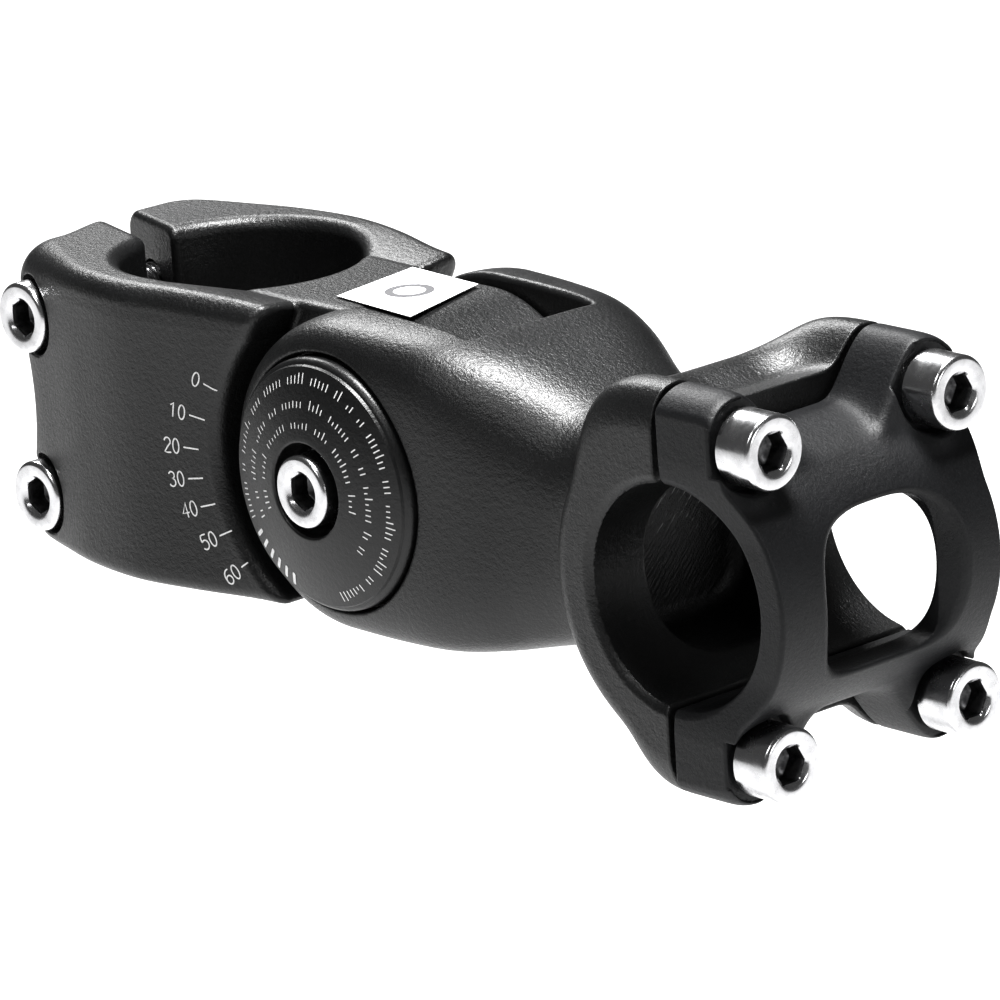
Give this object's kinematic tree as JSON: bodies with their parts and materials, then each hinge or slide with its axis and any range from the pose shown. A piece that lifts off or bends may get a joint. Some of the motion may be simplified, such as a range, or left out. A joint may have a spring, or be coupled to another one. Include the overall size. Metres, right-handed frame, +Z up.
{
  "type": "adjustable handlebar stem",
  "caption": "Adjustable-angle bicycle stem: a split steerer clamp and a forked arm that tilts about a cross bolt, with a handlebar clamp closed by a front plate.",
  "frame": {"origin": "on the steerer tube's axis, level with the axis the arm tilts about", "axes": "+X forward from the steerer tube to the handlebar, +Z up along the steerer tube, -Y the rider's right"},
  "size_m": [0.1343, 0.0438, 0.0464],
  "materials": {
    "anodised_black": "satin black anodised",
    "cap_black": "satin black anodised, with white print",
    "bright_screw": "bright plated",
    "zinc_steel": "zinc plated"
  },
  "bodies": {
    "rear_clamp": {"steerer_clamp": "anodised_black", "tongue_ring_right": "zinc_steel", "tongue_ring_left": "zinc_steel", "pivot_sleeve": "zinc_steel"},
    "arm": {"tilt_arm": "anodised_black", "faceplate": "anodised_black", "pivot_cap_right": "cap_black", "pivot_cap_left": "cap_black", "pivot_nut": "bright_screw", "pivot_washer_right": "zinc_steel", "pivot_washer_left": "zinc_steel", "fork_ring_right": "zinc_steel", "fork_ring_left": "zinc_steel"},
    "pinch_screw_upper": {"pinch_bolt_upper": "bright_screw"},
    "pinch_screw_lower": {"pinch_bolt_lower": "bright_screw"},
    "pivot_screw": {"pivot_bolt": "bright_screw"},
    "face_screw_upper_right": {"faceplate_bolt_upper_right": "bright_screw"},
    "face_screw_upper_left": {"faceplate_bolt_upper_left": "bright_screw"},
    "face_screw_lower_right": {"faceplate_bolt_lower_right": "bright_screw"},
    "face_screw_lower_left": {"faceplate_bolt_lower_left": "bright_screw"}
  },
  "joints": [
    {"name": "arm_tilt", "type": "hinge", "parent": "rear_clamp", "child": "arm", "pos_m": [0.034, 0, 0], "axis": [0, -1, 0], "range_deg": [0, 60]},
    {"name": "pinch_upper_turn", "type": "hinge", "parent": "rear_clamp", "child": "pinch_screw_upper", "pos_m": [-0.0209, -0.0123, 0.011], "axis": [0, -1, 0], "continuous": true},
    {"name": "pinch_lower_turn", "type": "hinge", "parent": "rear_clamp", "child": "pinch_screw_lower", "pos_m": [-0.0209, -0.0123, -0.011], "axis": [0, -1, 0], "continuous": true},
    {"name": "pivot_bolt_turn", "type": "hinge", "parent": "arm", "child": "pivot_screw", "pos_m": [0.034, -0.0169, 0], "axis": [0, -1, 0], "continuous": true},
    {"name": "face_upper_right_turn", "type": "hinge", "parent": "arm", "child": "face_screw_upper_right", "pos_m": [0.0984, -0.0141, 0.0145], "axis": [1, 0, 0], "continuous": true},
    {"name": "face_upper_left_turn", "type": "hinge", "parent": "arm", "child": "face_screw_upper_left", "pos_m": [0.0984, 0.0141, 0.0145], "axis": [1, 0, 0], "continuous": true},
    {"name": "face_lower_right_turn", "type": "hinge", "parent": "arm", "child": "face_screw_lower_right", "pos_m": [0.0984, -0.0141, -0.0205], "axis": [1, 0, 0], "continuous": true},
    {"name": "face_lower_left_turn", "type": "hinge", "parent": "arm", "child": "face_screw_lower_left", "pos_m": [0.0984, 0.0141, -0.0205], "axis": [1, 0, 0], "continuous": true}
  ]
}
